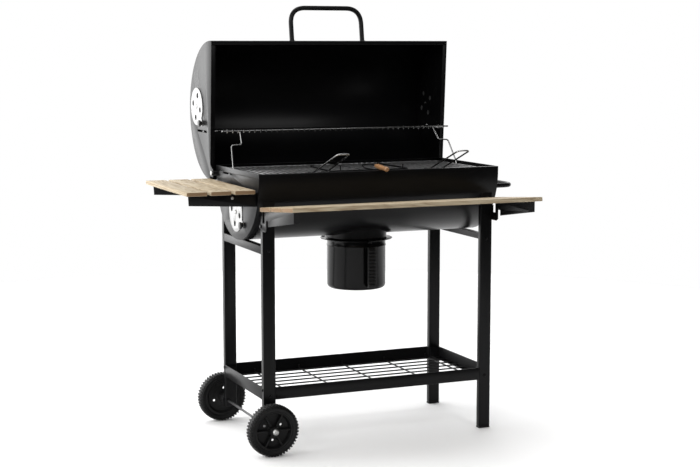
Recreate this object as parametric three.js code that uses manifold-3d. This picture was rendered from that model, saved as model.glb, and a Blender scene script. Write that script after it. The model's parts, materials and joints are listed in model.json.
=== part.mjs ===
// Barrel charcoal grill on a two-wheeled trolley, lid open, with a folding front shelf,
// a side shelf and an ash bucket. Millimetres, +X along the barrel to the push handle,
// +Y to the back, +Z up. The design frame has its origin on the ground between the legs.
import * as THREE from 'three';
import * as BufferGeometryUtils from 'three/addons/utils/BufferGeometryUtils.js';
import Module from 'manifold-3d';

const wasm = await Module();
wasm.setup();

// ---- driving dimensions ----------------------------------------------------------------
const GAP = 0.3;                 // air between two pieces that touch
const SHEET = 2;                 // pressed steel sheet and angle
const ROUND = 12;                // sides of a small round
const BIG_ROUND = 64;            // sides of the barrel's full circle
const SNAP = 1024;               // steps in a millimetre
const LEG = { halfX: 400, halfY: 198, wide: 40, deep: 20, wall: 1.5, top: 800 };
const FOOT = { height: 6, plug: 20 };
const BARREL = { r: 210, z: 860, rim: 875, halfX: 415 };
const CRADLE = { top: 649.5, high: 25, deep: 22 };
const RAIL = { low: 165, high: 205 };
const WHEEL = { x: -390, r: 82, y: 250, wide: 40, rimR: 62, boreR: 4.4, hubOut: 6 };
const AXLE_R = 4;
const LID = { r: 230, halfX: 430, y: 212, z: 1052, tilt: 3.6, lip: 13 };
const HINGE = { y: 205, z: 848, boltR: 4, earR: 14 };
const RACK_LID = { y: 293, z: 981 };      // rack pivot in the lid's slot
const RACK_LEG = { y: 63, z: 855 };       // rack leg pivot in the barrel end's slot
const VENT = { r: 63, holeR: 9.3, ring: 38.5, turn: 12, plate: 1.5, pin: 3 };
const SHELF = { cross: 5, crossFrom: -291, crossTo: 350, long: 8, wire: 5 };
const GRID = { top: 866, x: 203, halfX: 192, halfY: 200, wire: 4, bars: 20 };
const COAL = { z: 720, halfY: 152.8, x: 200, halfX: 190, bars: 14 };
const BUCKET = { r: 97, low: 472, high: 635.7, wall: 1.5, flange: 3, flangeR: 106.5, round: 12 };
const COLLAR = { r: 100, low: 636, flangeR: 119, boltRing: 110.5, hookR: 6.5 };
const SIDE = { top: 829, thick: 12, x0: -650, x1: -432, halfY: 225, slats: 3, gapX: 12, bracketY: 188 };
const FRONT = { y0: -214, z0: 774, y1: -496, z1: 800, halfX: 415, slats: 3, gapY: 5, thick: 13 };
const FOLD = { y: -189, z: 712, r: 3.5 };         // front shelf's pivot on the front legs
const PUSH = { r: 8, z: 802, halfY: 118, reach: 106, bend: 42 };
const LID_HANDLE = { r: 8, halfX: 129, high: 114, bend: 72, angle: 12.4 };

// ---- materials --------------------------------------------------------------------------
const paint = (color, roughness, metalness = 0) =>
  new THREE.MeshStandardMaterial({ color, roughness, metalness });
const BLACK = paint(0x17181a, 0.55, 0.3);
const GLOSS = paint(0x0d0d0f, 0.2, 0.3);
const PLASTIC = paint(0x1c1c1e, 0.6);
const STEEL = paint(0xc9cac8, 0.35, 1);
const GRATE = paint(0x74767a, 0.45, 0.8);
const PINE = paint(0xd9b98a, 0.65);
const TOOL_WOOD = paint(0xb9753f, 0.6);

// ---- solids -----------------------------------------------------------------------------
const rad = THREE.MathUtils.degToRad;

function solid(geometry) {
  const bare = geometry.index ? geometry.toNonIndexed() : geometry.clone();
  bare.deleteAttribute('normal');
  bare.deleteAttribute('uv');
  // corners snap to a fine binary grid, so faces that should be level are exactly level
  const place = bare.attributes.position.array;
  for (let i = 0; i < place.length; i += 1) place[i] = Math.round(place[i] * SNAP) / SNAP;
  const merged = BufferGeometryUtils.mergeVertices(bare, 1e-4);
  return new wasm.Manifold(new wasm.Mesh({
    numProp: 3,
    vertProperties: Float32Array.from(merged.attributes.position.array),
    triVerts: Uint32Array.from(merged.index.array),
  }));
}

function geometryOf(body) {
  const mesh = body.getMesh();
  const geometry = new THREE.BufferGeometry();
  geometry.setAttribute('position', new THREE.BufferAttribute(Float32Array.from(mesh.vertProperties), 3));
  geometry.setIndex(new THREE.BufferAttribute(Uint32Array.from(mesh.triVerts), 1));
  return geometry;
}

const join = (bodies) => bodies.reduce((all, next) => all.add(next));

function box(x0, x1, y0, y1, z0, z1) {
  const geometry = new THREE.BoxGeometry(Math.abs(x1 - x0), Math.abs(y1 - y0), Math.abs(z1 - z0));
  geometry.translate((x0 + x1) / 2, (y0 + y1) / 2, (z0 + z1) / 2);
  return solid(geometry);
}

// a round bar between two points
function bar(from, to, radius, sides = ROUND) {
  const a = new THREE.Vector3(...from);
  const b = new THREE.Vector3(...to);
  const along = b.clone().sub(a);
  const geometry = new THREE.CylinderGeometry(radius, radius, along.length(), sides);
  geometry.applyQuaternion(new THREE.Quaternion().setFromUnitVectors(new THREE.Vector3(0, 1, 0), along.normalize()));
  const middle = a.add(b).multiplyScalar(0.5);
  geometry.translate(middle.x, middle.y, middle.z);
  return solid(geometry);
}

// an outline in the Y-Z plane, thick along X
function plateX(shape, x0, x1, curveSegments = BIG_ROUND / 4) {
  const geometry = new THREE.ExtrudeGeometry(shape, { depth: x1 - x0, bevelEnabled: false, curveSegments });
  geometry.applyMatrix4(new THREE.Matrix4().set(0, 0, 1, x0, 1, 0, 0, 0, 0, 1, 0, 0, 0, 0, 0, 1));
  return solid(geometry);
}

const outline = (points) => new THREE.Shape(points.map(([u, v]) => new THREE.Vector2(u, v)));

function disc(u, v, radius) {
  const shape = new THREE.Shape();
  shape.absarc(u, v, radius, 0, 2 * Math.PI, false);
  return shape;
}

// a curve through given points, one step for each stretch
class PointPath extends THREE.Curve {
  constructor(points) {
    super();
    this.points = points;
  }

  getPoint(t, target = new THREE.Vector3()) {
    const place = t * (this.points.length - 1);
    const index = Math.min(Math.floor(place), this.points.length - 2);
    return target.copy(this.points[index]).lerp(this.points[index + 1], place - index);
  }

  getPointAt(u, target) {
    return this.getPoint(u, target);
  }

  getTangentAt(u, target = new THREE.Vector3()) {
    const step = 0.5 / (this.points.length - 1);
    return target.copy(this.getPoint(Math.min(1, u + step))).sub(this.getPoint(Math.max(0, u - step))).normalize();
  }
}

// a wire or tube bent round its corners
function bentRod(corners, radius, bend, sides = 8, bendSteps = 4) {
  const at = corners.map((corner) => new THREE.Vector3(...corner));
  const points = [at[0]];
  for (let i = 1; i < at.length - 1; i += 1) {
    const back = at[i - 1].clone().sub(at[i]);
    const ahead = at[i + 1].clone().sub(at[i]);
    const reach = Math.min(bend, back.length() * 0.45, ahead.length() * 0.45);
    const start = at[i].clone().add(back.setLength(reach));
    const end = at[i].clone().add(ahead.setLength(reach));
    const curve = new THREE.QuadraticBezierCurve3(start, at[i], end);
    points.push(...curve.getPoints(bendSteps));
  }
  points.push(at[at.length - 1]);
  const section = disc(0, 0, radius);
  return solid(new THREE.ExtrudeGeometry(section, {
    steps: points.length - 1, curveSegments: sides / 2, bevelEnabled: false, extrudePath: new PointPath(points),
  }));
}

// a turned piece about an axis through the origin along Z, from [radius, height] points
function turned(profile, segments = 28) {
  const points = profile.map(([r, h]) => new THREE.Vector2(r, h));
  const geometry = new THREE.LatheGeometry(points, segments);
  geometry.rotateX(Math.PI / 2);
  return solid(geometry);
}

const moved = (body, x, y, z) => body.translate([x, y, z]);

const sides = [-1, 1];
const corners = sides.flatMap((sx) => sides.map((sy) => [sx, sy]));

// ---- shelf layout ---------------------------------------------------------------------
const slatWidth = (SIDE.x1 - SIDE.x0 - SIDE.gapX * (SIDE.slats - 1)) / SIDE.slats;
const slatX = (i) => SIDE.x0 + slatWidth / 2 + i * (slatWidth + SIDE.gapX);
const slope = Math.atan2(FRONT.z1 - FRONT.z0, FRONT.y0 - FRONT.y1);
const frontDepth = Math.hypot(FRONT.z1 - FRONT.z0, FRONT.y0 - FRONT.y1);
const boardDepth = (frontDepth - FRONT.gapY * (FRONT.slats - 1)) / FRONT.slats;
const bracketX = LEG.halfX + GAP;

// ---- the scene --------------------------------------------------------------------------
const grill = new THREE.Group();
const lid = new THREE.Group();
lid.position.set(0, LID.y, LID.z);
lid.rotation.x = -rad(90 - LID.tilt);
grill.add(lid);

function add(parent, name, body, material) {
  const mesh = new THREE.Mesh(geometryOf(body), material);
  mesh.name = name;
  parent.add(mesh);
}

const sideName = (sx) => (sx < 0 ? 'left' : 'right');
const faceName = (sy) => (sy < 0 ? 'front' : 'rear');
const barrelRound = (radius, halfX) => bar([-halfX, 0, BARREL.z], [halfX, 0, BARREL.z], radius, BIG_ROUND);

// ---- legs, feet, cradles and rails --------------------------------------------------------
function leg(sx, sy) {
  const low = sx > 0 ? FOOT.height + GAP : 62;
  const x1 = sx * (LEG.halfX - LEG.wide);
  const y1 = sy * (LEG.halfY - LEG.deep);
  const outer = box(sx * LEG.halfX, x1, sy * LEG.halfY, y1, low, LEG.top);
  const w = LEG.wall;
  const bore = box(sx * (LEG.halfX - w), x1 + sx * w, sy * (LEG.halfY - w), y1 + sy * w, low - 1, LEG.top + 1);
  const foldHole = bar([sx * 404, FOLD.y, FOLD.z], [sx * 390, FOLD.y, FOLD.z], FOLD.r + GAP);
  const axleHole = bar([WHEEL.x, sy * 170, WHEEL.r], [WHEEL.x, sy * 210, WHEEL.r], AXLE_R + GAP);
  return outer.subtract(bore).subtract(barrelRound(BARREL.r + GAP, 450)).subtract(axleHole).subtract(foldHole);
}

function footCap(sy) {
  const inset = LEG.wall + GAP;
  const x0 = LEG.halfX - LEG.wide;
  const y0 = sy * LEG.halfY;
  const y1 = sy * (LEG.halfY - LEG.deep);
  return join([
    box(x0, LEG.halfX, y0, y1, 0, FOOT.height),
    box(x0 + inset, LEG.halfX - inset, y0 - sy * inset, y1 + sy * inset, 1, FOOT.plug),
  ]);
}

// an angle iron with a bolting tab at each end, along Y at one side of the trolley
function sideAngle(sx, low, high, flangeDeep, flangeOnTop) {
  const face = sx * LEG.halfX;
  const end = LEG.halfY - LEG.deep - GAP;
  const flange = flangeOnTop ? [high - SHEET, high] : [low, low + SHEET];
  const parts = [
    box(face, face - sx * SHEET, -end, end, low, high),
    box(face, face - sx * flangeDeep, -end, end, ...flange),
  ];
  for (const sy of sides) {
    parts.push(box(face, face - sx * (LEG.wide - 4), sy * end, sy * (end - SHEET), low, high));
  }
  return join(parts);
}

function longAngle(sy) {
  const face = sy * LEG.halfY;
  const end = LEG.halfX - LEG.wide - GAP;
  const parts = [
    box(-end, end, face, face - sy * SHEET, RAIL.low, RAIL.high),
    box(-end, end, face, face - sy * LEG.deep, RAIL.low, RAIL.low + SHEET),
  ];
  for (const sx of sides) {
    parts.push(box(sx * end, sx * (end - SHEET), face, face - sy * LEG.deep, RAIL.low, RAIL.high));
  }
  return join(parts);
}

for (const [sx, sy] of corners) add(grill, `leg_${faceName(sy)}_${sideName(sx)}`, leg(sx, sy), BLACK);
for (const sy of sides) add(grill, `foot_cap_${faceName(sy)}`, footCap(sy), PLASTIC);
for (const sx of sides) {
  add(grill, `cradle_${sideName(sx)}`, sideAngle(sx, CRADLE.top - CRADLE.high, CRADLE.top, CRADLE.deep, true), BLACK);
  add(grill, `rail_${sideName(sx)}`, sideAngle(sx, RAIL.low, RAIL.high, LEG.deep, false), BLACK);
}
for (const sy of sides) add(grill, `rail_${faceName(sy)}`, longAngle(sy), BLACK);

// ---- axle and wheels ------------------------------------------------------------------------
const axleEnd = WHEEL.y + WHEEL.wide / 2 + WHEEL.hubOut + 6;
add(grill, 'axle', bar([WHEEL.x, -axleEnd, WHEEL.r], [WHEEL.x, axleEnd, WHEEL.r], AXLE_R), STEEL);

function alongY(body, y) {
  return moved(body.rotate([90, 0, 0]), WHEEL.x, y, WHEEL.r);
}

function ring(outer, inner, h0, h1, segments = 24) {
  return turned([[inner, h0], [outer, h0], [outer, h1], [inner, h1], [inner, h0]], segments);
}

for (const sy of sides) {
  const half = WHEEL.wide / 2;
  const tyreProfile = [
    [WHEEL.rimR + GAP, -half + 4], [WHEEL.r - 12, -half], [WHEEL.r, -half + 7], [WHEEL.r, half - 7],
    [WHEEL.r - 12, half], [WHEEL.rimR + GAP, half - 4], [WHEEL.rimR + GAP, -half + 4],
  ];
  add(grill, `tyre_${faceName(sy)}`, alongY(turned(tyreProfile, 48), sy * WHEEL.y), PLASTIC);
  const hub = WHEEL.boreR + 10;
  const hubIn = LEG.halfY + GAP - WHEEL.y;
  const hubOut = half + WHEEL.hubOut;
  const rimProfile = [
    [WHEEL.boreR, hubIn], [hub, hubIn], [hub, -4], [WHEEL.rimR - 12, -4], [WHEEL.rimR - 6, -half + 5],
    [WHEEL.rimR, -half + 5], [WHEEL.rimR, half - 5], [WHEEL.rimR - 6, half - 5], [WHEEL.rimR - 12, 4],
    [hub, 4], [hub, hubOut], [WHEEL.boreR, hubOut], [WHEEL.boreR, hubIn],
  ];
  let rim = turned(rimProfile, 36);
  for (let i = 0; i < 3; i += 1) {
    const angle = rad(30 + 120 * i);
    const [u, v] = [33 * Math.cos(angle), 33 * Math.sin(angle)];
    rim = rim.subtract(bar([u, v, -8], [u, v, 8], 7, 8));
  }
  add(grill, `rim_${faceName(sy)}`, alongY(sy < 0 ? rim : rim.mirror([0, 0, 1]), sy * WHEEL.y), PLASTIC);
}
const cap = () => turned([[AXLE_R + GAP, 0], [10.5, 0], [10.5, 3], [7, 8.5], [0, 9], [0, 7], [AXLE_R + GAP, 7],
  [AXLE_R + GAP, 0]], 16);
for (const sy of sides) {
  const hubFace = sy * (WHEEL.y + WHEEL.wide / 2 + WHEEL.hubOut + GAP);
  add(grill, `hub_cap_${faceName(sy)}`, moved(cap().rotate([-sy * 90, 0, 0]), WHEEL.x, hubFace, WHEEL.r), STEEL);
}

// ---- barrel -----------------------------------------------------------------------------------
const hingeEar = () => disc(HINGE.y, HINGE.z, HINGE.earR);
const hingeCut = bar([-450, HINGE.y, HINGE.z], [450, HINGE.y, HINGE.z], HINGE.boltR + GAP);

// half a round, closed on top at a given height above its centre line
function troughShape(radius, lift) {
  const shape = new THREE.Shape();
  shape.moveTo(-radius, BARREL.z + lift);
  shape.lineTo(-radius, BARREL.z);
  shape.absarc(0, BARREL.z, radius, Math.PI, 2 * Math.PI, false);
  shape.lineTo(radius, BARREL.z + lift);
  shape.closePath();
  return shape;
}

function barrelSkin() {
  const lift = BARREL.rim - BARREL.z;
  const end = BARREL.halfX - SHEET - GAP;
  const outer = plateX(troughShape(BARREL.r, lift), -end, end);
  const inner = plateX(troughShape(BARREL.r - SHEET, lift + 5), -end - 1, end + 1);
  const ashHole = bar([0, 0, 640], [0, 0, 700], COLLAR.r - 5, 28);
  const parts = [outer.subtract(inner).subtract(ashHole)];
  // rolled rim, and a ledge for the grids, along the front and the back
  for (const sy of sides) {
    const wall = sy * (BARREL.r - 1);
    const ledge = GRID.top - GRID.wire - GAP;
    parts.push(box(-end, end, wall, sy * (BARREL.r - 9), BARREL.rim - SHEET, BARREL.rim));
    parts.push(box(-end + 8, end - 8, wall, sy * (BARREL.r - 15), ledge - SHEET, ledge));
  }
  return join(parts);
}

function ventHoles(y, z, x0, x1, turn) {
  return join([0, 1, 2, 3].map((i) => {
    const angle = rad(turn + 90 * i);
    const [hy, hz] = [y + VENT.ring * Math.cos(angle), z + VENT.ring * Math.sin(angle)];
    return bar([x0, hy, hz], [x1, hy, hz], VENT.holeR, 8);
  }));
}

const BARREL_VENT = { y: 8, z: 738 };
function barrelEnd(sx) {
  const [x0, x1] = sx < 0 ? [-BARREL.halfX, -BARREL.halfX + SHEET] : [BARREL.halfX - SHEET, BARREL.halfX];
  const plate = plateX(troughShape(BARREL.r, BARREL.rim - BARREL.z), x0, x1).add(plateX(hingeEar(), x0, x1, 12));
  const slot = box(x0 - 1, x1 + 1, 58, 134, RACK_LEG.z - 3, RACK_LEG.z + 3);
  // the hinge's sleeve is welded to the plate and keeps the lid's end clear of it
  const sleeve = bar([sx * (BARREL.halfX - 0.5), HINGE.y, HINGE.z], [sx * (LID.halfX - SHEET - GAP), HINGE.y, HINGE.z], 8);
  let end = plate.add(sleeve).subtract(hingeCut).subtract(slot);
  if (sx < 0) {
    const { y, z } = BARREL_VENT;
    end = end.subtract(ventHoles(y, z, x0 - 1, x1 + 1, VENT.turn + 45));
    end = end.subtract(bar([x0 - 1, y, z], [x1 + 1, y, z], VENT.pin + GAP));
  }
  return end;
}

add(grill, 'barrel_skin', barrelSkin(), BLACK);
for (const sx of sides) add(grill, `barrel_end_${sideName(sx)}`, barrelEnd(sx), BLACK);

function pushHandle() {
  const root = BARREL.halfX + GAP;
  const tip = BARREL.halfX + PUSH.reach;
  const path = [[root, -PUSH.halfY, PUSH.z], [tip, -PUSH.halfY, PUSH.z], [tip, PUSH.halfY, PUSH.z],
    [root, PUSH.halfY, PUSH.z]];
  return bentRod(path, PUSH.r, PUSH.bend, 8, 4);
}
add(grill, 'push_handle', pushHandle(), BLACK);

// hinge bolts stand on the barrel ends, through the ears of the lid's ends
const boltTip = LID.halfX + GAP;
for (const sx of sides) {
  const root = [sx * (BARREL.halfX - SHEET + GAP), HINGE.y, HINGE.z];
  const shank = bar(root, [sx * (boltTip + 1), HINGE.y, HINGE.z], HINGE.boltR);
  const head = bar([sx * boltTip, HINGE.y, HINGE.z], [sx * (boltTip + 4), HINGE.y, HINGE.z], 8, 8);
  add(grill, `hinge_bolt_${sideName(sx)}`, shank.add(head), STEEL);
}

// ---- ash collar and bucket ----------------------------------------------------------------------
// three studs under the collar carry the bucket's flange on their wide heads
const studAt = (i, offset) => {
  const angle = rad(offset + 120 * i);
  return [COLLAR.boltRing * Math.cos(angle), COLLAR.boltRing * Math.sin(angle)];
};

function ashCollar() {
  const low = COLLAR.low;
  const wall = ring(COLLAR.r, COLLAR.r - SHEET, low, 690, 28).subtract(barrelRound(BARREL.r + GAP, 200));
  const flange = ring(COLLAR.flangeR, COLLAR.r - SHEET, low, low + SHEET, 28);
  const studs = [0, 1, 2].flatMap((i) => {
    const [x, y] = studAt(i, -90);
    const under = BUCKET.high - BUCKET.flange - GAP;
    return [bar([x, y, under - 3], [x, y, low + 5], 3, 8), bar([x, y, under - 3], [x, y, under], COLLAR.hookR)];
  });
  return join([wall, flange, ...studs]);
}
add(grill, 'ash_collar', ashCollar(), BLACK);

// the strap that carries the grip is welded to the front of the bucket
const gripY = -BUCKET.r - 22;
function bucketBracket() {
  const wallY = -BUCKET.r + 1;
  const [low, high] = [488, 616];
  return join([
    box(-9, 9, wallY, wallY - SHEET, low, low + 16),
    box(-9, 9, wallY, wallY - SHEET, high - 16, high),
    box(-9, 9, wallY, gripY, low, low + SHEET),
    box(-9, 9, wallY, gripY, high - SHEET, high),
    box(-9, 9, gripY, gripY + SHEET, low, high),
  ]);
}

function ashBucket() {
  const { r, low, high, wall, flangeR, round } = BUCKET;
  const flange = high - BUCKET.flange;
  const body = turned([
    [0, low], [r - round, low], [r - round * 0.3, low + round * 0.3], [r, low + round], [r, flange],
    [flangeR, flange], [flangeR, high], [r - wall, high], [r - wall, low + round], [r - round, low + wall],
    [0, low + wall],
  ]);
  // three notches let the stud heads through before the bucket is turned
  const notches = [0, 1, 2].map((i) => {
    const [x, y] = studAt(i, -30);
    return bar([x, y, flange - 1], [x, y, high + 1], COLLAR.hookR + 1.5, 12);
  });
  return body.subtract(join(notches)).add(bucketBracket());
}
add(grill, 'ash_bucket', ashBucket(), GLOSS);
add(grill, 'bucket_grip', box(-12, 12, gripY - GAP, gripY - 14, 486, 618), PLASTIC);

// ---- grates -----------------------------------------------------------------------------------
// the open stretches between wires at the given places, and out to the ends of the wires that cross them
function openings(places, half, ends) {
  const gaps = places.slice(1).map((place, i) => [places[i] + half, place - half]);
  if (ends) {
    gaps.push([ends[0] - 1, places[0] - half]);
    gaps.push([places[places.length - 1] + half, ends[1] + 1]);
  }
  return gaps;
}

// wires welded in one layer: a plate in the X-Y plane with a slot between each two wires
function wireGrid(xs, ys, width, low, endsX, endsY) {
  const half = width / 2;
  const high = low + width;
  const [x0, x1] = endsX || [xs[0] - half, xs[xs.length - 1] + half];
  const [y0, y1] = endsY || [ys[0] - half, ys[ys.length - 1] + half];
  const plate = box(x0, x1, y0, y1, low, high);
  const slots = openings(xs, half, endsX).flatMap(([left, right]) =>
    openings(ys, half, endsY).map(([front, back]) => box(left, right, front, back, low - 1, high + 1)));
  return plate.subtract(join(slots));
}

// evenly spaced places from one end to the other, to the nearest quarter of a millimetre
const spread = (from, to, count) => Array.from({ length: count },
  (_, i) => Math.round(4 * (from + ((to - from) * i) / (count - 1))) / 4);

for (const sx of sides) {
  const barX = spread(sx * GRID.x - GRID.halfX + 2, sx * GRID.x + GRID.halfX - 2, GRID.bars);
  const rodY = [-GRID.halfY + 2, GRID.halfY - 2];
  add(grill, `cooking_grid_${sideName(sx)}`, wireGrid(barX, rodY, GRID.wire, GRID.top - GRID.wire), GRATE);
  const x = sx * GRID.x;
  const root = GRID.top + 2.5 + GAP;
  const handle = bentRod([
    [x - 22, -140, root], [x - 22, -176, root + 1], [x - 20, -375, 942], [x + 20, -375, 942],
    [x + 22, -176, root + 1], [x + 22, -140, root],
  ], 2.5, 16, 6, 2);
  add(grill, `grid_handle_${sideName(sx)}`, handle, STEEL);
}
for (const sx of sides) {
  const barX = spread(sx * COAL.x - COAL.halfX, sx * COAL.x + COAL.halfX, COAL.bars);
  add(grill, `charcoal_grate_${sideName(sx)}`, wireGrid(barX, [-COAL.halfY + 3, COAL.halfY - 3], 5, COAL.z), GRATE);
}

// ---- wire shelf on the rails --------------------------------------------------------------
function wireShelf() {
  const low = RAIL.low + SHEET + GAP;
  const w = SHELF.wire;
  const halfX = LEG.halfX - SHEET - 2;
  const halfY = LEG.halfY - SHEET - 2;
  const clearY = LEG.halfY - LEG.deep - SHEET - 2 * GAP - 12;
  const crossX = spread(SHELF.crossFrom, SHELF.crossTo, SHELF.cross);
  const mesh = wireGrid(crossX, spread(-clearY, clearY, SHELF.long), w, low, [-halfX, halfX], [-halfY, halfY]);
  // the cross wires turn up against the back rail
  const hooks = crossX.map((x) => box(x - 1.5, x + 1.5, halfY - w, halfY, low + 1, low + 14));
  return join([mesh, ...hooks]);
}
add(grill, 'wire_shelf', wireShelf(), BLACK);

// ---- lid, built closed about its own centre ------------------------------------------------------
const openTurn = new THREE.Matrix4().makeRotationX(rad(90 - LID.tilt));
function toLid(y, z) {
  const point = new THREE.Vector3(0, y - LID.y, z - LID.z).applyMatrix4(openTurn);
  return [point.y, point.z];
}
const [hingeU, hingeV] = toLid(HINGE.y, HINGE.z);
const LID_VENT = { y: 0, z: 149 };

function domeShape(radius) {
  const shape = new THREE.Shape();
  shape.moveTo(radius, 0);
  shape.absarc(0, 0, radius, 0, Math.PI, false);
  shape.closePath();
  return shape;
}

function handleFoot(sx, height) {
  const angle = rad(180 - LID_HANDLE.angle);
  const reach = LID.r + height;
  return [sx * LID_HANDLE.halfX, reach * Math.cos(angle), reach * Math.sin(angle)];
}

function lidSkin() {
  const end = LID.halfX - SHEET - GAP;
  const shell = plateX(domeShape(LID.r), -end, end).subtract(
    plateX(domeShape(LID.r - SHEET), -end - 1, end + 1).add(box(-end - 1, end + 1, 0 - LID.r + SHEET, LID.r - SHEET, -1, 1)));
  const lips = sides.map((sy) => box(-end, end, sy * (LID.r - 0.5), sy * (LID.r - LID.lip), 0, SHEET));
  return join([shell, ...lips]);
}

function lidEnd(sx) {
  const [x0, x1] = sx < 0 ? [-LID.halfX, -LID.halfX + SHEET] : [LID.halfX - SHEET, LID.halfX];
  const ear = plateX(disc(hingeU, hingeV, HINGE.earR), x0, x1, 12);
  const neck = plateX(outline([
    [hingeU - HINGE.earR, hingeV], [hingeU + HINGE.earR, hingeV], [hingeU + HINGE.earR, 30], [hingeU - 32, 12],
  ]), x0, x1);
  const lipX = sx * (LID.halfX - 15);
  const lip = box(lipX, sx * LID.halfX, -LID.r + LID.lip + 2, LID.r - LID.lip - 2, 0, SHEET);
  const plate = plateX(domeShape(LID.r), x0, x1).add(ear).add(neck).add(lip);
  const slotParts = [258, 358].map((y) => toLid(y, RACK_LID.z));
  const middle = slotParts[0].map((value, i) => (value + slotParts[1][i]) / 2);
  const slot = box(x0 - 1, x1 + 1, -50, 50, -3.5, 3.5).rotate([90 - LID.tilt, 0, 0]).translate([0, ...middle]);
  const { y, z } = LID_VENT;
  return plate
    .subtract(bar([x0 - 1, hingeU, hingeV], [x1 + 1, hingeU, hingeV], HINGE.boltR + GAP))
    .subtract(slot)
    .subtract(ventHoles(y, z, x0 - 1, x1 + 1, VENT.turn + 45))
    .subtract(bar([x0 - 1, y, z], [x1 + 1, y, z], VENT.pin + GAP));
}

add(lid, 'lid_skin', lidSkin(), BLACK);
for (const sx of sides) add(lid, `lid_end_${sideName(sx)}`, lidEnd(sx), BLACK);
add(lid, 'lid_handle', bentRod([handleFoot(-1, 1), handleFoot(-1, LID_HANDLE.high), handleFoot(1, LID_HANDLE.high),
  handleFoot(1, 1)], LID_HANDLE.r, LID_HANDLE.bend, 8, 4), BLACK);

// ---- dampers: a turning disc, shut at rest, with a tab, its pin, and a knob --------------------------------------
function damper(parent, name, sx, halfX, y, z, tabU, tabV) {
  const face = sx * (halfX + GAP);
  const outer = face + sx * VENT.plate;
  const [x0, x1] = [Math.min(face, outer), Math.max(face, outer)];
  const reach = Math.hypot(tabU, tabV);
  const tab = box(x0, x1, 0, reach + 10, -10, 10).rotate([THREE.MathUtils.radToDeg(Math.atan2(tabV, tabU)), 0, 0]);
  const pinInner = sx * (halfX - SHEET - 6);
  const plate = plateX(disc(y, z, VENT.r), x0, x1, 14).add(moved(tab, 0, y, z));
  const pin = bar([pinInner, y, z], [outer + sx * 2, y, z], VENT.pin, 8);
  const pinHead = bar([outer - sx, y, z], [outer + sx * 2.5, y, z], 7, 8);
  const body = plate.subtract(ventHoles(y, z, x0 - 1, x1 + 1, VENT.turn)).add(pin).add(pinHead);
  add(parent, `damper_${name}`, body, STEEL);
  const seat = outer + sx * GAP;
  const knob = bar([seat, y + tabU, z + tabV], [seat + sx * 12, y + tabU, z + tabV], 11, 16);
  add(parent, `damper_knob_${name}`, knob, PLASTIC);
}

const lidTab = toLid(LID.y - 52, LID.z - 54);
for (const sx of sides) damper(lid, `lid_${sideName(sx)}`, sx, LID.halfX, LID_VENT.y, LID_VENT.z, ...lidTab);
damper(grill, 'barrel', -1, BARREL.halfX, BARREL_VENT.y, BARREL_VENT.z, -67, -36);

// ---- warming rack and its legs ---------------------------------------------------------------------
const rackFront = { y: RACK_LEG.y + RACK_LID.y - HINGE.y, z: RACK_LEG.z + RACK_LID.z - HINGE.z };
function warmingRack() {
  const w = 5;
  const [a, c] = [RACK_LID, rackFront];
  const length = Math.hypot(a.y - c.y, a.z - c.z);
  const tilt = THREE.MathUtils.radToDeg(Math.atan2(a.z - c.z, a.y - c.y));
  const half = LID.halfX - SHEET - 34;
  const mesh = wireGrid(spread(-half, half, 34), [-length / 2, length / 2], w, -w / 2);
  // the back rod runs out into the slots of the lid's ends, the front one to its eyes
  const rod = (reach, y) => bar([-reach, y, 0], [reach, y, 0], 3);
  const backRod = rod(LID.halfX + 1, length / 2);
  const frontRod = rod(half + 18, -length / 2);
  return join([mesh, backRod, frontRod]).rotate([tilt, 0, 0]).translate([0, (a.y + c.y) / 2, (a.z + c.z) / 2]);
}
add(grill, 'warming_rack', warmingRack(), STEEL);

function rackLeg(sx) {
  const { y, z } = RACK_LEG;
  const stop = 6.5;
  const path = [[BARREL.halfX + 4, y, z], [404, y, z], [402, y + 7, z + 22], [393, 112, 944], [358, 113, 946],
    [352, rackFront.y - stop * 0.68, rackFront.z - stop * 0.73]];
  return bentRod(path.map(([x, ...rest]) => [sx * x, ...rest]), 2.5, 7, 6, 2);
}
for (const sx of sides) add(grill, `rack_leg_${sideName(sx)}`, rackLeg(sx), STEEL);

// ---- grid lifter lying on the grids ------------------------------------------------------------------
const lifterZ = GRID.top + GAP + 2.5;
const forkCorners = [[-121, 90], [-138, -40], [-138, -113], [140, -113], [140, -40], [130, 112]];
const lifterParts = [bentRod(forkCorners.map(([x, y]) => [x, y, lifterZ]), 2.5, 22, 6, 2)];
for (const x of [-104, 116]) lifterParts.push(bar([x, -113, lifterZ], [x, -113, lifterZ + 16], 2, 6));
for (const [x, y] of [forkCorners[0], forkCorners[5]]) {
  lifterParts.push(bar([x, y, lifterZ - 2.5], [x, y, lifterZ + 5], 6, 8));
}
lifterParts.push(bentRod([[8, -113, lifterZ + 1], [13, -40, lifterZ], [16, -6, 876], [24, -58, 883],
  [9, -136, 883.5]], 2, 12, 6, 1));
add(grill, 'lifter_fork', join(lifterParts), BLACK);
const lifterBack = [8.5, -140, 883.5];
const lifterFront = [-20, -290, 884];
add(grill, 'lifter_handle', bar(lifterBack, lifterFront, 8, 16), TOOL_WOOD);

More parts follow.
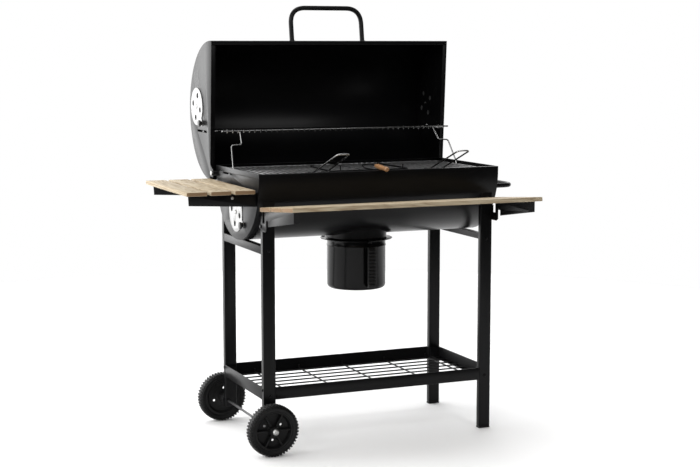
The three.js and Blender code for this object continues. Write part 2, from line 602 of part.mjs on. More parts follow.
// ---- side shelf ---------------------------------------------------------------------------------------
for (const sy of sides) {
  const y0 = sy * SIDE.bracketY;
  const y1 = sy * (SIDE.bracketY + SHEET);
  const topZ = SIDE.top - SIDE.thick - GAP;
  const root = -BARREL.halfX - GAP;
  const web = new THREE.Shape([[root, 774], [-633, 785], [-635, topZ], [root, topZ]]
    .map(([x, z]) => new THREE.Vector2(x, z)));
  const geometry = new THREE.ExtrudeGeometry(web, { depth: SHEET, bevelEnabled: false });
  geometry.rotateX(Math.PI / 2);
  geometry.translate(0, sy > 0 ? y1 : y0, 0);
  const flange = box(-635, root, y1, y0 - sy * 18, topZ - SHEET, topZ);
  const foot = box(root, root - SHEET, y1, y0 - sy * 22, 774, topZ);
  add(grill, `side_bracket_${faceName(sy)}`, join([solid(geometry), flange, foot]), BLACK);
}
for (let i = 0; i < SIDE.slats; i += 1) {
  const x = slatX(i);
  const slat = box(x - slatWidth / 2, x + slatWidth / 2, -SIDE.halfY, SIDE.halfY, SIDE.top - SIDE.thick, SIDE.top);
  add(grill, `side_slat_${i + 1}`, slat, PINE);
}

// ---- front shelf, folding down on the front legs --------------------------------------------------------
function frontBracket(sx) {
  const topAt = (y) => FRONT.z0 + ((FRONT.y0 - y) * (FRONT.z1 - FRONT.z0)) / (FRONT.y0 - FRONT.y1)
    - (FRONT.thick + GAP) / Math.cos(slope);
  const tip = -471;
  const web = outline([
    [tip, topAt(tip)], [tip, 751], [-253, 717], [-253, 735], [-237, 735], [-237, 704], [-226, 698],
    [FOLD.y - 2, 698], [-179, 706], [-179, 742], [-204, 748], [-204, 724], [-220, 724], [-220, topAt(-220)],
  ]);
  const inner = sx * bracketX;
  const outer = sx * (bracketX + SHEET);
  const [x0, x1] = [Math.min(inner, outer), Math.max(inner, outer)];
  const flange = box(outer, sx * (bracketX - 18), 0, -(Math.hypot(tip - FRONT.y0, 24) - 10), -SHEET, 0)
    .rotate([-THREE.MathUtils.radToDeg(slope), 0, 0])
    .translate([0, -224, topAt(-224)]);
  const nose = box(outer, sx * (bracketX - 18), tip, tip + SHEET, 751, topAt(tip) - 0.5);
  const pin = bar([sx * (LEG.halfX - LEG.wall - 4), FOLD.y, FOLD.z], [outer, FOLD.y, FOLD.z], FOLD.r);
  const pinHead = bar([outer - sx, FOLD.y, FOLD.z], [outer + sx * 3.5, FOLD.y, FOLD.z], 6.5, 8);
  return join([plateX(web, x0, x1), flange, nose, pin, pinHead]);
}
for (const sx of sides) add(grill, `front_bracket_${sideName(sx)}`, frontBracket(sx), BLACK);
for (let i = 0; i < FRONT.slats; i += 1) {
  const start = i * (boardDepth + FRONT.gapY);
  const board = box(-FRONT.halfX, FRONT.halfX, -start, -start - boardDepth, -FRONT.thick, 0)
    .rotate([-THREE.MathUtils.radToDeg(slope), 0, 0])
    .translate([0, FRONT.y0, FRONT.z0]);
  add(grill, `front_slat_${i + 1}`, board, PINE);
}

// ---- the part's own frame: centre of the bounding box's base at the origin ------------------------------
grill.updateMatrixWorld(true);
const bounds = new THREE.Box3().setFromObject(grill, true);
grill.position.set(-(bounds.min.x + bounds.max.x) / 2, -(bounds.min.y + bounds.max.y) / 2, -bounds.min.z);

export default grill;
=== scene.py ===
import json
import math

import bmesh
import bpy
from mathutils import Matrix, Vector

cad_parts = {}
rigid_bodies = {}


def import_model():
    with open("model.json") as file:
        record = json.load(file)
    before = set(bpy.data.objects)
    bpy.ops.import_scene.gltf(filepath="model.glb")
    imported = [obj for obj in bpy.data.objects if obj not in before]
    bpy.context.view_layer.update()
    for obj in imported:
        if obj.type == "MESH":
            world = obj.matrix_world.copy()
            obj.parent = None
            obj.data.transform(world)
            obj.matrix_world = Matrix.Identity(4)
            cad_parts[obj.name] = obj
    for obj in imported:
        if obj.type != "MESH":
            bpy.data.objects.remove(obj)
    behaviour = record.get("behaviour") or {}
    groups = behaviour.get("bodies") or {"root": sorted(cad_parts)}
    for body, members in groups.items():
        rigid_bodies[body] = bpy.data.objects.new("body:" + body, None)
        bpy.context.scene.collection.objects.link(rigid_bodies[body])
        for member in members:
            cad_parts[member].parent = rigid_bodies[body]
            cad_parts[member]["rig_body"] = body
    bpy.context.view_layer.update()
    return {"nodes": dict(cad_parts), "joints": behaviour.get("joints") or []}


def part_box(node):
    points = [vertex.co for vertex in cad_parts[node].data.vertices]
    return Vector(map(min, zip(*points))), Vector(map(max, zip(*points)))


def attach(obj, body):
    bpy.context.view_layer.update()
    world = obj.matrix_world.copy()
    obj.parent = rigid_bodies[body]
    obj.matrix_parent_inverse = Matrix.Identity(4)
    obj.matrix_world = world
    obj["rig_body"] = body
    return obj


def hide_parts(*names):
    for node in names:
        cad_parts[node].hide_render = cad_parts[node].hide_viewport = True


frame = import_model()

# ---- Camera and studio ------------------------------------------------------------------------
# A camera at eye height off the grill's front left corner, on a long lens. The backdrop is lit
# behind the grill and the studio is dim on the camera's side. Daylight comes from overhead.
CAMERA_FROM_MIDDLE = Vector((-1.9709, -4.5463, 1.2689))
CAMERA_TURN = [math.radians(82.871), 0, math.radians(-23.20)]
LENS_MM = 77.67

leg_names = ["leg_front_left", "leg_front_right", "leg_rear_left", "leg_rear_right"]
leg_boxes = [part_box(name) for name in leg_names]
trolley_low = Vector([min(low[i] for low, high in leg_boxes) for i in range(3)])
trolley_high = Vector([max(high[i] for low, high in leg_boxes) for i in range(3)])
MIDDLE = Vector(((trolley_low.x + trolley_high.x) / 2, (trolley_low.y + trolley_high.y) / 2, 0))

bpy.ops.object.camera_add(location=MIDDLE + CAMERA_FROM_MIDDLE, rotation=CAMERA_TURN)
camera = bpy.context.object
camera.data.lens = LENS_MM
camera.data.sensor_width = 36
bpy.context.scene.camera = camera


class Socket:
    """A value, colour or vector in a material. Arithmetic on one adds a Math node."""

    def __init__(self, tree, socket=None):
        self.tree, self.socket = tree, socket

    def node(self, kind, sockets=(), out=0, stops=(), **settings):
        made = self.tree.nodes.new("ShaderNode" + kind)
        for name, setting in settings.items():
            setattr(made, name, setting)
        for i, (place, colour) in enumerate(stops):
            stop = made.color_ramp.elements[i] if i < 2 else made.color_ramp.elements.new(place)
            stop.position, stop.color = place, (*colour, 1)
        for name, value in dict(sockets).items():
            if isinstance(value, Socket):
                self.tree.links.new(value.socket, made.inputs[name])
            else:
                made.inputs[name].default_value = value
        return Socket(self.tree, made.outputs[out])

    def math(self, operation, other=0.0, limit=False):
        return self.node("Math", {0: self, 1: other}, operation=operation, use_clamp=limit)

    def noise(self, scale, detail=2.0, stretch=(1, 1, 1)):
        """Cloudy noise over this vector, drawn out along an axis where stretch is small."""
        place = self.node("Mapping", {"Vector": self, "Scale": stretch})
        return place.node("TexNoise", {"Vector": place, "Scale": scale, "Detail": detail})

    def between(self, low, high):
        """This value spread from 0 at low to 1 at high."""
        return self.node("MapRange", {"Value": self, "From Min": low, "From Max": high})

    def mix(self, first, second):
        """The first colour where this value is 0, the second where it is 1."""
        colours = [c if isinstance(c, Socket) else (*c, 1) for c in (first, second)]
        return self.node("Mix", {0: self, 6: colours[0], 7: colours[1]}, out=2, data_type="RGBA")

    def bump(self, distance, strength=1.0):
        return self.node("Bump", {"Height": self, "Distance": distance, "Strength": strength})

    def __add__(self, other):
        return self.math("ADD", other)

    def __mul__(self, other):
        return self.math("MULTIPLY", other)

    def __rsub__(self, other):
        return self.node("Math", {0: other, 1: self}, operation="SUBTRACT")

    __radd__ = __add__
    __rmul__ = __mul__


def finish_from(name):
    """A new material, and the place on its piece that patterns are drawn from."""
    material = bpy.data.materials.new(name)
    material.use_nodes = True
    return material, Socket(material.node_tree).node("TexCoord", out="Object")


def paint(material, **sockets):
    """Feeds the shader's sockets, which are named with _ for each space."""
    shader = material.node_tree.nodes["Principled BSDF"]
    for name, value in sockets.items():
        socket = shader.inputs[name.replace("_", " ")]
        if isinstance(value, Socket):
            material.node_tree.links.new(value.socket, socket)
        else:
            socket.default_value = value
    return material


bpy.ops.object.select_all(action="DESELECT")
bpy.ops.mesh.primitive_circle_add(vertices=96, radius=3.2, fill_type="NGON", location=(0, 0.4, -0.0005))
floor = bpy.context.object
floor.name = "floor"
floor_finish, floor_place = finish_from("pale_floor")
floor_cloud = floor_place.noise(0.7)
paint(floor_finish, Base_Color=floor_cloud.mix((0.84, 0.84, 0.84), (0.86, 0.86, 0.86)), Roughness=0.9)
floor.data.materials.append(floor_finish)

# Straight on, the backdrop is pale. What the grill reflects is brightest behind it.
BACKDROP_GLOW, BEHIND_GLOW, FRONT_GLOW = 1.0, 2.1, 0.05
world = bpy.data.worlds.new("studio")
world.use_nodes = True
backdrop = world.node_tree.nodes["Background"]
backdrop.inputs["Color"].default_value = (1, 1, 1, 1)
studio = Socket(world.node_tree)
way = studio.node("SeparateXYZ", {"Vector": studio.node("TexCoord", out="Generated")}, out=1)
glow = way.node("MapRange", {"Value": way, "From Min": -0.15, "From Max": 0.8, "To Min": FRONT_GLOW,
                             "To Max": BEHIND_GLOW},
                interpolation_type="SMOOTHSTEP")
seen = studio.node("LightPath", out="Is Camera Ray")
shown = seen * BACKDROP_GLOW + (1 - seen) * glow
world.node_tree.links.new(shown.socket, backdrop.inputs["Strength"])
bpy.context.scene.world = world
bpy.context.scene.view_settings.view_transform = "Standard"


def lamp(kind, name, place, towards, power):
    bpy.ops.object.light_add(type=kind, location=place)
    light = bpy.context.object
    light.name = name
    light.rotation_euler = (Vector(towards) - Vector(place)).to_track_quat("-Z", "Y").to_euler()
    light.data.energy = power
    return light.data


grill_heart = MIDDLE + Vector((0, 0, 0.8))
overhead = lamp("SUN", "overhead", grill_heart + Vector((-0.5, 0.3, 3)), grill_heart, 1.7)
overhead.angle = math.radians(50)
fill = lamp("SUN", "front_fill", grill_heart + Vector((-2, -2.2, 1.6)), grill_heart, 0.9)
fill.angle = math.radians(30)
left_box = lamp("AREA", "left_box", grill_heart + Vector((-3.2, 0.3, 0.7)), grill_heart, 90)
window = lamp("AREA", "window", grill_heart + Vector((-2.5, 4.6, 0.7)), grill_heart, 36)
lid_glow = lamp("AREA", "lid_glow", grill_heart + Vector((0.5, -2.4, 1.5)),
                grill_heart + Vector((-0.2, 0.3, 0.3)), 14)
for box, wide, high in ((left_box, 2.6, 3.0), (window, 2.6, 3.0), (lid_glow, 1.6, 0.7)):
    box.shape = "RECTANGLE"
    box.size, box.size_y = wide, high

# ---- Legs, feet, cradles and rails ------------------------------------------------------------
# Four legs of 40 by 20 mm steel tube. Angle irons tie them at the bottom and carry the barrel
# at the top, bolted through the tube walls. All is powder coated satin black.
black_coat, place = finish_from("satin_black_coat")
orange_peel = place.noise(650, 3)
coat_cloud = place.noise(9, 3)
paint(
    black_coat,
    Base_Color=coat_cloud.mix((0.0025, 0.0025, 0.0028), (0.0048, 0.0048, 0.0052)),
    Roughness=0.26 + coat_cloud * 0.08,
    Specular_IOR_Level=0.13,
    Normal=orange_peel.bump(0.00012, 0.55),
)


def alone(*pieces):
    bpy.ops.object.select_all(action="DESELECT")
    for piece in pieces:
        piece.select_set(True)
    bpy.context.view_layer.objects.active = pieces[0]


def edit(piece, kind="VERT", test=None):
    """Opens a piece for editing with all of it selected, or the parts that pass the test."""
    alone(piece)
    bpy.ops.object.mode_set(mode="EDIT")
    bpy.ops.mesh.select_mode(type=kind)
    bpy.ops.mesh.select_all(action="DESELECT" if test else "SELECT")
    if test:
        mesh = bmesh.from_edit_mesh(piece.data)
        for part in {"EDGE": mesh.edges, "FACE": mesh.faces}[kind]:
            if test(part):
                part.select_set(True)
        bmesh.update_edit_mesh(piece.data)


def done():
    bpy.ops.object.mode_set(mode="OBJECT")


def finished_by(piece, kind, **settings):
    """Adds a modifier and applies it."""
    alone(piece)
    modifier = piece.modifiers.new(kind, kind)
    for name, setting in settings.items():
        setattr(modifier, name, setting)
    bpy.ops.object.modifier_apply(modifier=modifier.name)


def eased(piece, width, steps=2, angle=35):
    """Rounds every edge a little, and shades the curved faces smooth."""
    if width:
        finished_by(piece, "BEVEL", width=width, segments=steps, limit_method="ANGLE",
                    angle_limit=math.radians(angle), miter_outer="MITER_ARC")
    alone(piece)
    bpy.ops.object.shade_smooth_by_angle(angle=math.radians(angle))
    return piece


def fitted(piece, body, finish, slot, *nodes):
    piece.data.materials.clear()
    piece.data.materials.append(finish)
    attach(piece, body)
    if nodes:
        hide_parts(*nodes)
    return piece


def cleaned(node):
    """A copy of a CAD node's shape, its loose triangles merged into whole faces."""
    piece = bpy.data.objects.new(node + "_made", frame["nodes"][node].data.copy())
    bpy.context.scene.collection.objects.link(piece)
    edit(piece)
    bpy.ops.mesh.customdata_custom_splitnormals_clear()
    bpy.ops.mesh.remove_doubles(threshold=1e-5)
    bpy.ops.mesh.dissolve_limited(angle_limit=math.radians(1))
    done()
    return piece


def body_of(node):
    return frame["nodes"][node]["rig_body"]


def worked(node, width, finish, slot):
    """The CAD node's shape with its edges eased, in place of the node."""
    return fitted(eased(cleaned(node), width), body_of(node), finish, slot, node)


TUBE_CORNER = 0.0028
for name in leg_names:
    low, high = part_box(name)
    leg = cleaned(name)

    def on_corner(edge):
        return all(
            min(abs(v.co.x - low.x), abs(v.co.x - high.x)) < 1e-5
            and min(abs(v.co.y - low.y), abs(v.co.y - high.y)) < 1e-5
            for v in edge.verts
        )

    edit(leg, "EDGE", on_corner)
    bpy.ops.mesh.bevel(offset=TUBE_CORNER, segments=4)
    done()
    fitted(eased(leg, 0), "frame", black_coat, "black_paint", name)
SHEET_EDGE = 0.0007
for name in ["cradle_left", "cradle_right", "rail_left", "rail_right", "rail_front", "rail_rear"]:
    worked(name, SHEET_EDGE, black_coat, "black_paint")

black_plastic, place = finish_from("black_moulded_plastic")
moulded = place.noise(1400, 2)
scuffs = place.noise(60, 4)
paint(
    black_plastic,
    Base_Color=scuffs.mix((0.003, 0.003, 0.0032), (0.007, 0.007, 0.007)),
    Specular_IOR_Level=0.2,
    Roughness=0.42 + scuffs * 0.16,
    Normal=moulded.bump(0.00015, 0.5),
)
for name in ["foot_cap_front", "foot_cap_rear"]:
    worked(name, 0.0008, black_plastic, "black_plastic")


def chain(name, points):
    """A line drawn point by point from one vertex, left open for editing."""
    bpy.ops.object.select_all(action="DESELECT")
    bpy.ops.mesh.primitive_plane_add(size=0.01, location=(0, 0, 0))
    piece = bpy.context.object
    piece.name = name
    bpy.ops.object.mode_set(mode="EDIT")
    bpy.ops.mesh.select_mode(type="VERT")
    bpy.ops.mesh.select_all(action="SELECT")
    bpy.ops.mesh.merge(type="CENTER")
    bpy.ops.transform.translate(value=points[0])
    for here, there in zip(points, points[1:]):
        bpy.ops.mesh.extrude_region_move(TRANSFORM_OT_translate={"value": Vector(there) - Vector(here)})
    bpy.ops.mesh.select_all(action="SELECT")
    return piece


def stood(piece, seat, along):
    """Turns a piece that was made round +Z so that it stands on its seat along a direction."""
    turn = Vector((0, 0, 1)).rotation_difference(Vector(along)).to_matrix().to_4x4()
    piece.data.transform(Matrix.Translation(seat) @ turn)
    return piece


def turned(name, profile, seat, along, steps=48, ease=0.0):
    """A piece turned on a lathe from radius and height points, from its seat along a direction."""
    piece = chain(name, [Vector((r, 0, h)) for r, h in profile])
    bpy.ops.mesh.spin(steps=steps, angle=2 * math.pi, center=(0, 0, 0), axis=(0, 0, 1))
    bpy.ops.mesh.select_all(action="SELECT")
    bpy.ops.mesh.remove_doubles(threshold=1e-6)
    bpy.ops.mesh.dissolve_degenerate(threshold=1e-7)
    bpy.ops.mesh.normals_make_consistent(inside=False)
    done()
    return stood(eased(piece, ease), seat, along)


def joined(name, pieces):
    alone(*pieces)
    if len(pieces) > 1:
        bpy.ops.object.join()
    pieces[0].name = name
    return pieces[0]


def cut_by(piece, *cutters):
    for cutter in cutters:
        finished_by(piece, "BOOLEAN", object=cutter, operation="DIFFERENCE", solver="EXACT")
        bpy.data.objects.remove(cutter)
    return piece


def round_from(centre, radius, degrees):
    """A place at an angle on a level circle."""
    angle = math.radians(degrees)
    return centre + Vector((radius * math.cos(angle), radius * math.sin(angle), 0))


def rounder(radius, deep, middle, along, sides=32):
    """A plain round, for drilling with."""
    bpy.ops.object.select_all(action="DESELECT")
    bpy.ops.mesh.primitive_cylinder_add(vertices=sides, radius=radius, depth=deep)
    return stood(bpy.context.object, middle, along)


zinc, place = finish_from("grey_zinc")
zinc_cloud = place.noise(700, 3)
paint(
    zinc,
    Base_Color=zinc_cloud.mix((0.34, 0.34, 0.335), (0.52, 0.52, 0.51)),
    Roughness=0.24 + zinc_cloud * 0.2,
    Metallic=1.0,
)
# One button-head bolt is turned and given its socket, and every other is a copy.
BOLT_HEAD = 0.0048
button = turned("button_bolt", [(0, 0), (BOLT_HEAD, 0), (BOLT_HEAD, 0.0009), (0.0040, 0.0023),
                                (0.0024, 0.0032),
                                (0, 0.0034)], (0, 0, 0), (0, 0, 1), 24)
cut_by(button, rounder(0.0017, 0.004, (0, 0, 0.0034), (0, 0, 1), 6))


def bolts(name, body, seats, finish, slot):
    """Copies of the bolt on their seats, each a place from the trolley's middle and a direction."""
    heads = []
    for seat, along in seats:
        head = bpy.data.objects.new(name, button.data.copy())
        bpy.context.scene.collection.objects.link(head)
        heads.append(stood(head, MIDDLE + Vector(seat), along))
    return fitted(eased(joined(name, heads), 0), body, finish, slot)


leg_x = (trolley_high.x - trolley_low.x) / 2
leg_y = (trolley_high.y - trolley_low.y) / 2
frame_seats = []
for sx in (-1, 1):
    for sy in (-1, 1):
        for z in (0.636, 0.178):
            frame_seats.append(((sx * (leg_x - 0.02), sy * leg_y, z), (0, sy, 0)))
        frame_seats.append(((sx * leg_x, sy * (leg_y - 0.011), 0.196), (sx, 0, 0)))
    frame_seats.append(((sx * (leg_x - 0.016), leg_y, 0.714), (0, 1, 0)))
bolts("trolley_bolts", "frame", frame_seats, black_coat, "black_paint")

# ---- Wire shelf -------------------------------------------------------------------------------
# Welded 5 mm steel wire laid on the rails. The cross wires turn up against the back rail.
black_wire, place = finish_from("black_coated_wire")
paint(black_wire, Base_Color=(0.003, 0.003, 0.0032, 1), Roughness=0.3 + place.noise(30) * 0.15,
      Specular_IOR_Level=0.16,
      Normal=place.noise(900).bump(0.0001, 0.4))


def bent(corners, reach, steps=6):
    """Points along straight runs with each corner bent round."""
    corners = [Vector(corner) for corner in corners]
    points = [corners[0]]
    for before, corner, after in zip(corners, corners[1:], corners[2:]):
        back, ahead = before - corner, after - corner
        length = min(reach, back.length * 0.48, ahead.length * 0.48)
        start, end = corner + back.normalized() * length, corner + ahead.normalized() * length
        for i in range(steps + 1):
            t = i / steps
            points.append(start * (1 - t) ** 2 + corner * 2 * t * (1 - t) + end * t * t)
    return points + [corners[-1]]


def wires(name, paths, radius, roundness=3):
    """Round wire drawn along each path, made one mesh."""
    curve = bpy.data.curves.new(name, "CURVE")
    curve.dimensions = "3D"
    curve.bevel_depth = radius
    curve.bevel_resolution = roundness
    curve.use_fill_caps = True
    for path in paths:
        spline = curve.splines.new("POLY")
        spline.points.add(len(path) - 1)
        for point, corner in zip(spline.points, path):
            point.co = (*corner, 1)
    piece = bpy.data.objects.new(name, curve)
    bpy.context.scene.collection.objects.link(piece)
    alone(piece)
    bpy.ops.object.convert(target="MESH")
    piece = bpy.context.object
    edit(piece)
    bpy.ops.mesh.remove_doubles(threshold=1e-6)
    bpy.ops.mesh.normals_make_consistent(inside=False)
    done()
    return eased(piece, 0, angle=40)


def evenly(first, last, count):
    return [first + (last - first) * i / (count - 1) for i in range(count)]


shelf_low, shelf_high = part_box("wire_shelf")
SHELF_WIRE = 0.0025
shelf_z = shelf_low.z + SHELF_WIRE
LONG_HALF, CROSS_FIRST, CROSS_LAST = 0.1634, -0.291, 0.350
shelf_paths = []
for y in evenly(MIDDLE.y - LONG_HALF, MIDDLE.y + LONG_HALF, 8):
    shelf_paths.append([(shelf_low.x, y, shelf_z), (shelf_high.x, y, shelf_z)])
for x in evenly(MIDDLE.x + CROSS_FIRST, MIDDLE.x + CROSS_LAST, 5):
    back = shelf_high.y - SHELF_WIRE
    shelf_paths.append(bent([(x, shelf_low.y, shelf_z), (x, back, shelf_z), (x, back, shelf_high.z)],
                            0.006))
fitted(wires("wire_shelf_made", shelf_paths, SHELF_WIRE), "frame", black_wire, "black_wire", "wire_shelf")

# ---- Axle and wheels --------------------------------------------------------------------------
# An oiled steel axle through the left legs. Each wheel is a moulded black rim with six ribs
# and a tyre with two rows of tread blocks, held by a bright pressed cap.
axle_low, axle_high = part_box("axle")
axle_r = (axle_high.z - axle_low.z) / 2
axle_seat = Vector(((axle_low.x + axle_high.x) / 2, axle_low.y, (axle_low.z + axle_high.z) / 2))
axle_length = axle_high.y - axle_low.y
axle = turned("axle_made", [(0, 0), (axle_r - 0.001, 0), (axle_r, 0.001), (axle_r, axle_length - 0.001),
                            (axle_r - 0.001, axle_length), (0, axle_length)], axle_seat, (0, 1, 0), 32)
axle_steel, place = finish_from("oiled_steel")
paint(axle_steel, Base_Color=(0.09, 0.09, 0.092, 1), Roughness=0.3 + place.noise(90) * 0.2, Metallic=1.0)
fitted(axle, "frame", axle_steel, "zinc_steel", "axle")

TREAD_DEEP = 0.0042
TREAD_STEPS = 96
for face, sy in (("front", -1), ("rear", 1)):
    low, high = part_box("tyre_" + face)
    wheel_r, half = (high.z - low.z) / 2, (high.y - low.y) / 2
    hub = (low + high) / 2
    base_r = wheel_r - TREAD_DEEP
    rim_r = wheel_r - 0.0197
    tyre_profile = [
        (rim_r, -half + 0.004), (rim_r + 0.004, -half + 0.0015), (rim_r + 0.010, -half),
        (base_r - 0.006, -half + 0.003),
        (base_r, -half + 0.008), (base_r, -0.0012), (base_r, 0.0012), (base_r, half - 0.008),
        (base_r - 0.006, half - 0.003), (rim_r + 0.010, half), (rim_r + 0.004, half - 0.0015),
        (rim_r, half - 0.004),
        (rim_r, -half + 0.004),
    ]
    tyre = turned("tyre_made_" + face, tyre_profile, (0, 0, 0), (0, 0, 1), TREAD_STEPS)

    def on_block(part):
        spot = part.calc_center_median()
        if math.hypot(spot.x, spot.y) < base_r - 0.0055 or abs(spot.z) < 0.001:
            return False
        step = math.floor((math.atan2(spot.y, spot.x) / (2 * math.pi)) * TREAD_STEPS + 1000)
        return step % 2 == 0

    edit(tyre, "FACE", on_block)
    bpy.ops.mesh.extrude_region_shrink_fatten(TRANSFORM_OT_shrink_fatten={"value": TREAD_DEEP * 0.98})
    done()
    fitted(stood(eased(tyre, 0, angle=30), hub, (0, sy, 0)), "wheel_" + face, black_plastic,
           "black_plastic",
           "tyre_" + face)

    rim_low, rim_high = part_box("rim_" + face)
    inward = (rim_high.y - hub.y) if sy < 0 else (hub.y - rim_low.y)
    outward = (hub.y - rim_low.y) if sy < 0 else (rim_high.y - hub.y)
    bore_r, hub_r, ring_r = axle_r + 0.0004, 0.0145, rim_r - 0.0003
    rim = turned("rim_made_" + face, [
        (bore_r, -inward), (hub_r, -inward), (hub_r, -0.006), (ring_r - 0.013, -0.006),
        (ring_r - 0.007, -half + 0.005),
        (ring_r, -half + 0.005), (ring_r, half - 0.005), (ring_r - 0.0045, half - 0.005),
        (ring_r - 0.007, half - 0.008),
        (ring_r - 0.010, -0.002), (hub_r + 0.003, -0.002), (hub_r, 0.001), (hub_r, outward),
        (bore_r, outward),
        (bore_r, -inward),
    ], (0, 0, 0), (0, 0, 1), 72, 0.0006)
    for i in range(3):
        cut_by(rim, rounder(0.004, 0.02, round_from(Vector(), 0.031, 30 + 120 * i), (0, 0, 1)))
    ribs = []
    for i in range(6):
        bpy.ops.object.select_all(action="DESELECT")
        bpy.ops.mesh.primitive_cube_add(size=1, location=((hub_r + ring_r) / 2 - 0.002, 0, 0.0045),
                                        scale=(ring_r - hub_r - 0.005, 0.0052, 0.015))
        bpy.ops.object.transform_apply(location=True, rotation=True, scale=True)
        rib = eased(bpy.context.object, 0.0012)
        rib.data.transform(Matrix.Rotation(math.radians(60 * i), 4, "Z"))
        ribs.append(rib)
    rim = joined("rim_made_" + face, [rim, *ribs])
    rim.data.transform(Matrix.Rotation(math.radians(0 if sy < 0 else 10), 4, "Z"))
    fitted(stood(eased(rim, 0), hub, (0, sy, 0)), "wheel_" + face, black_plastic, "black_plastic",
           "rim_" + face)

    cap_low, cap_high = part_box("hub_cap_" + face)
    cap_seat = Vector((hub.x, cap_high.y if sy < 0 else cap_low.y, hub.z))
    cap = turned("hub_cap_made_" + face, [(0.0058, 0), (0.0105, 0), (0.0105, 0.0028), (0.0092, 0.0052),
                                          (0.0070, 0.0082),
                                          (0.0052, 0.009), (0.0040, 0.0086), (0.0034, 0.0074), (0, 0.0072),
                                          (0, 0.0066),
                                          (0.0056, 0.0064), (0.0058, 0)], cap_seat, (0, sy, 0), 40)
    fitted(cap, "frame", zinc, "zinc_steel", "hub_cap_" + face)

# ---- Barrel -----------------------------------------------------------------------------------
# Half a drum of 2 mm sheet with its rim folded in, a ledge inside for the grids, a hole in its
# bottom for the ash, and a D-shaped plate welded in at each end.
skin_low, skin_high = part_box("barrel_skin")
SHEET = 0.002
barrel_r = (skin_high.y - skin_low.y) / 2 - SHEET / 2
barrel_z = skin_low.z + (skin_high.y - skin_low.y) / 2
barrel_y = (skin_low.y + skin_high.y) / 2


SEAM = 0.0004  # how far the skins reach into their end plates


def swept(name, points, length, thick, ease=0.0005):
    """Sheet folded along a line of points and drawn out along +X."""
    piece = chain(name, points)
    bpy.ops.mesh.extrude_region_move(TRANSFORM_OT_translate={"value": (length, 0, 0)})
    done()
    finished_by(piece, "SOLIDIFY", thickness=thick, offset=0)
    return eased(piece, ease)


def half_drum(centre_y, centre_z, radius, steps=72):
    """Points round the lower half of a drum from the front to the back."""
    return [(centre_y - radius * math.cos(math.pi * i / steps),
             centre_z - radius * math.sin(math.pi * i / steps))
            for i in range(steps + 1)]


rim_z = skin_high.z - SHEET / 2
fold = 0.009 - SHEET / 2
belly = half_drum(barrel_y, barrel_z, barrel_r)
outline = [(barrel_y - barrel_r + fold, rim_z), (barrel_y - barrel_r + 0.0015, rim_z),
           (barrel_y - barrel_r, rim_z - 0.0015)]
outline += belly
outline += [(barrel_y + barrel_r, rim_z - 0.0015), (barrel_y + barrel_r - 0.0015, rim_z),
            (barrel_y + barrel_r - fold, rim_z)]
barrel = swept("barrel_skin_made", [Vector((skin_low.x - SEAM, y, z)) for y, z in outline],
               skin_high.x - skin_low.x + 2 * SEAM, SHEET)
cut_by(barrel, rounder(0.095, 0.08, (MIDDLE.x, MIDDLE.y, skin_low.z), (0, 0, 1), 64))
ledges = []
grid_low, grid_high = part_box("cooking_grid_left")
ledge_z = grid_low.z - 0.0003 - SHEET / 2
for sy in (-1, 1):
    wall = barrel_y + sy * (barrel_r - 0.0005)
    ledge = [(skin_low.x + 0.008, wall, ledge_z - 0.012), (skin_low.x + 0.008, wall - sy * 0.001, ledge_z),
             (skin_low.x + 0.008, wall - sy * 0.0135, ledge_z)]
    ledges.append(swept("ledge", ledge, skin_high.x - skin_low.x - 0.016, SHEET))
fitted(eased(joined("barrel_skin_made", [barrel, *ledges]), 0), "frame", black_coat, "black_paint",
       "barrel_skin")
for name in ["barrel_end_left", "barrel_end_right"]:
    worked(name, 0.0006, black_coat, "black_paint")

# The push handle is a bent tube with a flattened foot welded to the right end plate.
low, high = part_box("push_handle")
handle_r = (high.z - low.z) / 2
handle_z = (low.z + high.z) / 2
push_path = bent([(low.x, low.y + handle_r, handle_z), (high.x - handle_r, low.y + handle_r, handle_z),
                  (high.x - handle_r, high.y - handle_r, handle_z), (low.x, high.y - handle_r, handle_z)],
                  0.042, 12)
push = [wires("push_handle_made", [push_path], handle_r, 8)]
for y in (low.y + handle_r, high.y - handle_r):
    push.append(turned("foot", [(0, 0), (0.0135, 0), (0.0135, 0.0015), (handle_r, 0.004), (0, 0.004)],
                       (low.x, y, handle_z), (1, 0, 0), 32))
fitted(eased(joined("push_handle_made", push), 0), "frame", black_coat, "black_paint", "push_handle")
for side, sx in (("left", -1), ("right", 1)):
    worked("hinge_bolt_" + side, 0.0006, zinc, "zinc_steel")

# ---- Ash collar and bucket --------------------------------------------------------------------
# A flanged sheet collar is bolted under the barrel. The gloss enamelled bucket hangs from it
# on three studs, and has a strap at the front with a ribbed plastic grip.
gloss_black, place = finish_from("gloss_black_enamel")
enamel_wave = place.noise(22, 2)
paint(gloss_black, Base_Color=(0.002, 0.002, 0.0022, 1), Roughness=0.16 + enamel_wave * 0.08,
      Normal=enamel_wave.bump(0.0006, 0.35), Specular_IOR_Level=0.14)
collar_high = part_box("ash_collar")[1]
bucket_low, bucket_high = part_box("ash_bucket")
bucket_flange = bucket_high.z - 0.003
flange_z = bucket_high.z + 0.0003
BUCKET_R, FLANGE_R, COLLAR_R, STUD_RING = 0.097, 0.119, 0.100, 0.1105
collar = turned("ash_collar_made", [
    (COLLAR_R - SHEET, flange_z), (FLANGE_R - 0.001, flange_z), (FLANGE_R, flange_z + 0.001),
    (FLANGE_R - 0.001, flange_z + SHEET),
    (COLLAR_R + 0.003, flange_z + SHEET), (COLLAR_R, flange_z + SHEET + 0.003), (COLLAR_R, collar_high.z),
    (COLLAR_R - SHEET, collar_high.z), (COLLAR_R - SHEET, flange_z)], (MIDDLE.x, MIDDLE.y, 0), (0, 0, 1),
    96)
drum = rounder(barrel_r + SHEET / 2 + 0.0003, 0.4, (MIDDLE.x, barrel_y, barrel_z), (1, 0, 0), 180)
cut_by(collar, drum)
studs = []
